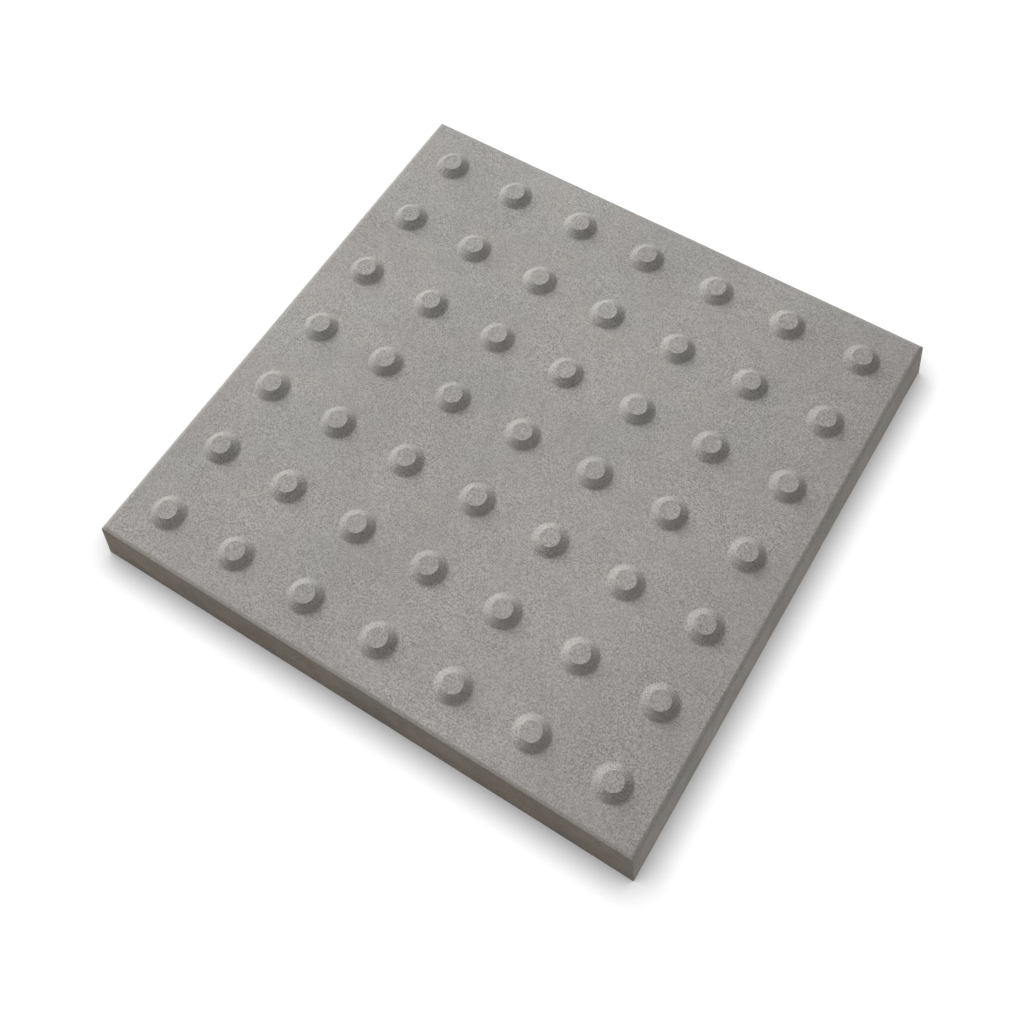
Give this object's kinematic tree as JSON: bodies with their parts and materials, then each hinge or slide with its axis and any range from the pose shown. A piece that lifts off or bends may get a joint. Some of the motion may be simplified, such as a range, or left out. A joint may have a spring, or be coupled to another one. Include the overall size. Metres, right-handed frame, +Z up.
{
  "type": "tactile paving slab",
  "caption": "Square cast concrete paving slab with a grid of raised truncated-cone studs that warn of a hazard underfoot, plain bevelled edges and a flat underside to bed.",
  "frame": {"origin": "middle of the underside", "axes": "+Z up out of the studded face, X and Y along the edges of the slab"},
  "size_m": [0.45, 0.45, 0.0455],
  "materials": {
    "concrete": "fair-faced cast concrete, fine sandy grain, matt"
  },
  "bodies": {
    "root": {"tactile_slab": "concrete"}
  },
  "joints": []
}
